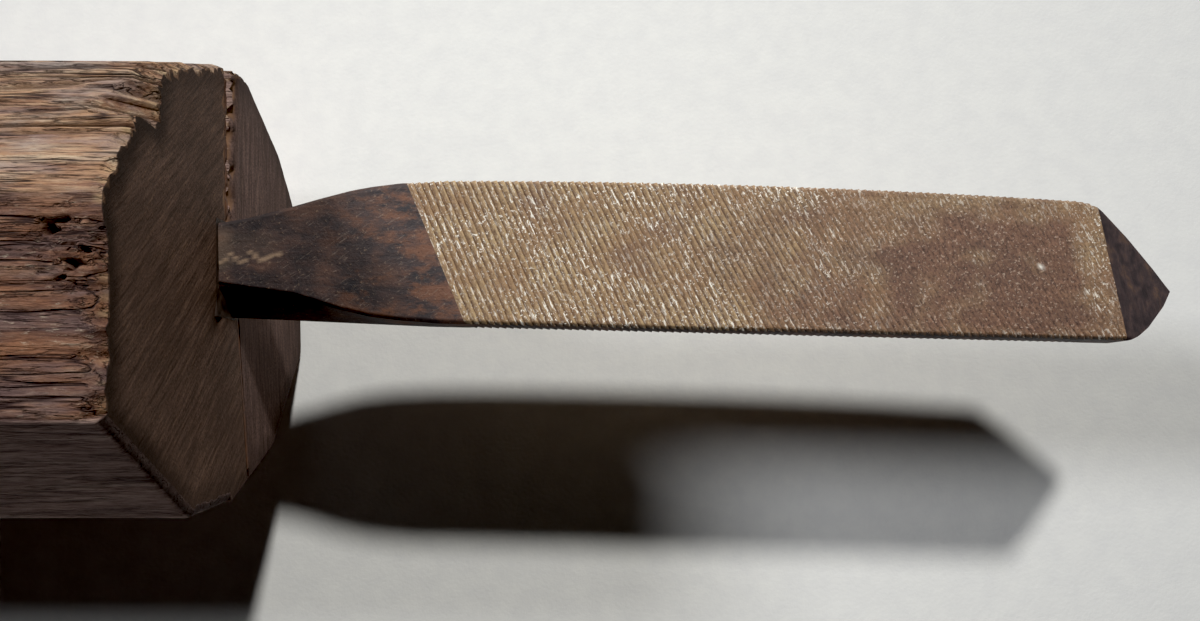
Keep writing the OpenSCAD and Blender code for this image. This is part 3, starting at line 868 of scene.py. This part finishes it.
def make_blade():
    bm = bmesh.new()
    crest_mark = bm.verts.layers.float.new("crest")
    clog_mark = bm.verts.layers.float.new("clogged")
    rust_mark = bm.verts.layers.float.new("rusty")
    smear_mark = bm.verts.layers.float.new("smear")
    glint_spot_mark = bm.verts.layers.float.new("glint_spot")
    lower_edge_shade_mark = bm.verts.layers.float.new("under")
    far_side = bm.verts.layers.float.new("far")
    bmesh.ops.create_grid(bm, x_segments=len(FILE_ROWS) - 1, y_segments=COLUMNS, size=0.5)
    near = list(bm.verts)
    extruded = bmesh.ops.extrude_face_region(bm, geom=bm.faces[:])["geom"]
    for v in (g for g in extruded if isinstance(g, bmesh.types.BMVert)):
        v[far_side] = 1.0
    zone = {}
    for v in bm.verts:
        row = round((v.co.x + 0.5) * (len(FILE_ROWS) - 1))
        share = column_share(round((0.5 - v.co.y) * COLUMNS))
        far = v[far_side] > 0.5
        upper, lower = FILE_ROWS[row]
        top = follow(UPPER_EDGE, upper)
        bottom = follow(LOWER_FAR if far else LOWER_NEAR, lower)
        u, across = upper + (lower - upper) * share, top + (bottom - top) * share
        thin = 0.5 * max(0.0, -u) / 38
        height = thin if far else THICKNESS - thin
        number = tooth_number(u, across)
        wear = noise.noise(Vector((u * 0.16, across * 0.25, 5.0 if far else 1.0)))
        mottle = noise.noise(Vector((u * 0.55, across * 0.7, 5.0 if far else 1.0)))
        in_from_edge = (0.6 + 0.4 * smooth_step(0.0, 1.4, across + 4.8)) * (0.45 + 0.55 * smooth_step(0.8, 2.8, top - across))
        clogged = smooth_step(26, 56, u + 5 * wear) * in_from_edge * (1.0 + 0.5 * wear + 0.7 * mottle)
        clogged *= 1 - 0.6 * smooth_step(57.2, 59.6, u + 0.19 * across)
        glint_spot = max(1 - smooth_step(0.3 * r, r, math.hypot(u - nu, across - nv)) for nu, nv, r in PAINTED_GLINT_SPOTS)
        teeth_here = smooth_step(-0.2, 0.6, number)
        past_bevel = (u - BEVEL_START) * math.cos(BEVEL_LEAN) + (across + 1) * math.sin(BEVEL_LEAN)
        if far:
            teeth_here *= 1 - smooth_step(57.5, 60, u)
        else:
            teeth_here *= 1 - smooth_step(-0.35, 0.05, past_bevel)
        jitter = noise.noise(Vector((u * 7.1, across * 5.3, 9.0 if far else 2.0)))
        rise = tooth_height(number)
        worn_flat = smooth_step(31, 51, u + 5 * wear) * (0.5 + 0.5 * smooth_step(0.3, 2.2, across + 4.8))
        worn_flat *= 1 - 0.45 * (1 - smooth_step(0.0, 1.0, math.hypot((u - 59.8) / 1.6, (across + 2.6) / 1.4)))
        lines = 1 - 0.93 * min(1.0, max(0.0, worn_flat + 0.25 * mottle * smooth_step(12, 30, u)))
        cut = TOOTH_DEPTH * (0.25 + 0.75 * lines) * (1 - rise)
        cut += 0.035 * rise * (0.5 + jitter) + 0.02 * (0.5 + wear)
        sink = teeth_here * cut + (1 - teeth_here) * (0.03 + 0.02 * wear + 0.012 * jitter)
        edge = min(share, 1 - share) * (top - bottom)
        low_edge = (1 - share) * (top - bottom)
        sink += 0.12 * (1 - smooth_step(0.0, 0.22, edge)) + 0.10 * (1 - smooth_step(0.0, 0.30, low_edge))
        height += sink if far else -sink
        if not far and past_bevel > 0:
            height = min(height, THICKNESS - 0.02 - past_bevel * BEVEL_FALL + 0.01 * wear)
            height = max(height, 0.05)
        if far and past_bevel > 0:
            height *= 1 - smooth_step(2.5, 5, past_bevel)
        at_edge = 1 - smooth_step(0.0, 0.12, edge)
        across += (1 if share < 0.5 else -1) * at_edge * teeth_here * 0.07 * (rise - 1)
        v.co = ((u, across, height))
        v[crest_mark] = 0.5 + (rise - 0.5) * teeth_here * lines
        v[clog_mark] = min(1.0, max(0.0, clogged))
        v[lower_edge_shade_mark] = 0.92 * (1 - smooth_step(0.04, 0.26, low_edge + 0.20 * rise * lines + 0.08 * jitter))
        v[glint_spot_mark] = 0.0 if far else glint_spot
        v[rust_mark] = smooth_step(5, 12, u) * 0.9 + 0.1
        v[smear_mark] = 0.0 if far else glue_smear(u, across)
        zone[v] = (number, past_bevel, u)
    for f in bm.faces:
        numbers = [zone[v] for v in f.verts]
        number = sum(n[0] for n in numbers) / len(numbers)
        past = min(n[1] for n in numbers)
        height = f.calc_center_median().z
        on_edge = len({v[far_side] > 0.5 for v in f.verts}) > 1
        f.smooth = True
        if on_edge:
            f.material_index = 1
        elif past > -0.02 and height < THICKNESS - 0.03 and not all(v[far_side] > 0.5 for v in f.verts):
            f.material_index = 2
        elif number > 0.0 and numbers[0][2] < REACH - 1:
            f.material_index = 0
        else:
            f.material_index = 1
    bmesh.ops.remove_doubles(bm, verts=bm.verts, dist=0.0008)
    bmesh.ops.scale(bm, vec=(MM, MM, MM), verts=bm.verts)
    bmesh.ops.rotate(bm, cent=(0, 0, 0), matrix=Matrix.Rotation(BLADE_TURN, 3, "Z"), verts=bm.verts)
    bmesh.ops.translate(bm, vec=(NOSE_X, BLADE_Y, blade_low.z), verts=bm.verts)
    bmesh.ops.recalc_face_normals(bm, faces=bm.faces)
    return finish_piece("file_blade", bm, [STEEL_TEETH, STEEL_BARE, STEEL_GROUND], "blade")


blade = make_blade()
blade.data.set_sharp_from_angle(angle=math.radians(38))

# %% [markdown]
# ## Glue
#
# Two glues show. A thin brown line lies between the halves, set back a little from the worn
# edges of the wood. Round the tang the maker packed its slot, and some squeezed out on to the
# steel, where it dried in a pale wandering smear. The film and the packing start as merged
# copies of their CAD solids, with the edge that shows pulled back or puckered.

# %% The film in the seam and the packing round the tang
def copy_of(node):
    bm = bmesh.new()
    bm.from_mesh(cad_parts[node].data)
    bmesh.ops.remove_doubles(bm, verts=bm.verts, dist=0.001 * MM)
    return bm


def make_film():
    bm = copy_of("seam_glue")
    slices = [((0, i * 0.5 * MM, 0), (0, 1, 0)) for i in range(-34, 35)] + [((NOSE_X - 3 * MM, 0, 0), (1, 0, 0))]
    for place, across in slices:
        bmesh.ops.bisect_plane(
            bm, geom=bm.verts[:] + bm.edges[:] + bm.faces[:], plane_co=place, plane_no=across, dist=0.001 * MM)
    for v in bm.verts:
        if v.co.x > NOSE_X - 2 * MM:
            y = v.co.y / MM
            ragged = 0.06 + 0.30 * max(0.0, noise.noise(Vector((y * 0.9, 0, 6))))
            v.co.x -= (ragged if y > 2 else 0.06) * MM
        v.co.y -= math.copysign(0.6 * MM * smooth_step(4 * MM, 11 * MM, abs(v.co.y)), v.co.y)
    return finish_piece("seam_film", bm, [GLUE_FILM], "seam_glue")


def make_packing():
    bm = copy_of("tang_bedding")
    front = [f for f in bm.faces if f.normal.x > 0.9]
    edges = list({e for f in front for e in f.edges})
    bmesh.ops.subdivide_edges(bm, edges=edges, cuts=12, use_grid_fill=True)
    for v in bm.verts:
        if v.co.x > NOSE_X - 1.2 * MM:
            n = noise.noise(v.co / MM * 1.4)
            v.co.x += (0.05 * n - 0.03) * MM
    return finish_piece("tang_packing", bm, [GLUE_BED_SHADED], "tang_bedding")


seam_film, tang_packing = make_film(), make_packing()

# %% [markdown]
# ## Floor, light and camera
#
# The tool lies on pale paper under two lights: a small warm lamp close above the point's side,
# which throws the blade's sharp shadow, and a broad cooler window to the left, which fills
# that shadow's near part. A little light from all round keeps the far sides readable.

# %% Paper
def paper():
    f = Finish("paper")
    mottle = f.noise((0.5, 0.5, 0.5), detail=5, roughness=0.6)
    tooth = f.noise((3, 3, 3), detail=3)
    colour = f.blend(f.levels(mottle, 0.35, 0.65), (0.76, 0.765, 0.765), (0.805, 0.81, 0.80))
    # The paper darkens away from a point near the blade: a painted pool of lamp light.
    from_middle = f.tree.nodes.new("ShaderNodeVectorMath")
    from_middle.operation = "DISTANCE"
    f.link(f.place, from_middle.inputs[0])
    from_middle.inputs[1].default_value = (NOSE_X + 16 * MM, -4 * MM, 0)
    painted_lamp_falloff = f.levels(from_middle.outputs["Value"], 0.025, 0.080, 0.0, 0.42)
    colour = f.blend(painted_lamp_falloff, colour, (0.44, 0.45, 0.47))
    return f.done(colour, 0.9, f.bump(tooth, 0.02), specular=0.1)


floor_bm = bmesh.new()
bmesh.ops.create_grid(floor_bm, x_segments=1, y_segments=1, size=2.0)
floor_mesh = bpy.data.meshes.new("paper_floor")
floor_bm.to_mesh(floor_mesh)
floor_bm.free()
floor_mesh.materials.append(paper())
floor = bpy.data.objects.new("paper_floor", floor_mesh)
bpy.context.scene.collection.objects.link(floor)


# %% Lights
def area_light(name, place, aim, size, watts, colour):
    lamp = bpy.data.lights.new(name, "AREA")
    lamp.shape = "DISK"
    lamp.size = size
    lamp.energy = watts
    lamp.color = colour
    holder = bpy.data.objects.new(name, lamp)
    holder.location = place
    holder.rotation_euler = (Vector(aim) - Vector(place)).to_track_quat("-Z", "Y").to_euler()
    bpy.context.scene.collection.objects.link(holder)
    return holder


nose = Vector((NOSE_X, 0, 0))
area_light("near_lamp", nose + Vector((0.092, 0.295, 0.318)), nose + Vector((0.03, 0, 0)), 0.038, 1.6, (1.0, 0.985, 0.935))
area_light("window", nose + Vector((-0.42, 0.22, 0.40)), nose + Vector((0.03, 0, 0)), 0.14, 2.35, (0.98, 0.99, 1.0))
world = bpy.data.worlds.new("studio_air")
world.use_nodes = True
world.node_tree.nodes["Background"].inputs["Color"].default_value = (1, 1, 1, 1)
world.node_tree.nodes["Background"].inputs["Strength"].default_value = 0.012
bpy.context.scene.world = world

# %% Camera
camera_data = bpy.data.cameras.new("bench_camera")
camera_data.sensor_width = 36
camera_data.lens = 27.9
camera_data.clip_start = 0.004
camera_data.clip_end = 10
camera = bpy.data.objects.new("bench_camera", camera_data)
camera.location = nose + Vector((0.0258, -0.00826, 0.080))
camera.rotation_euler = (math.radians(6.1), 0, 0)
bpy.context.scene.collection.objects.link(camera)
bpy.context.scene.camera = camera
view = bpy.context.scene.view_settings
view.view_transform = "Standard"
view.use_curve_mapping = True
view.curve_mapping.black_level = (0.010, 0.010, 0.010)
view.curve_mapping.update()

# %% Update the scene
bpy.context.view_layer.update()
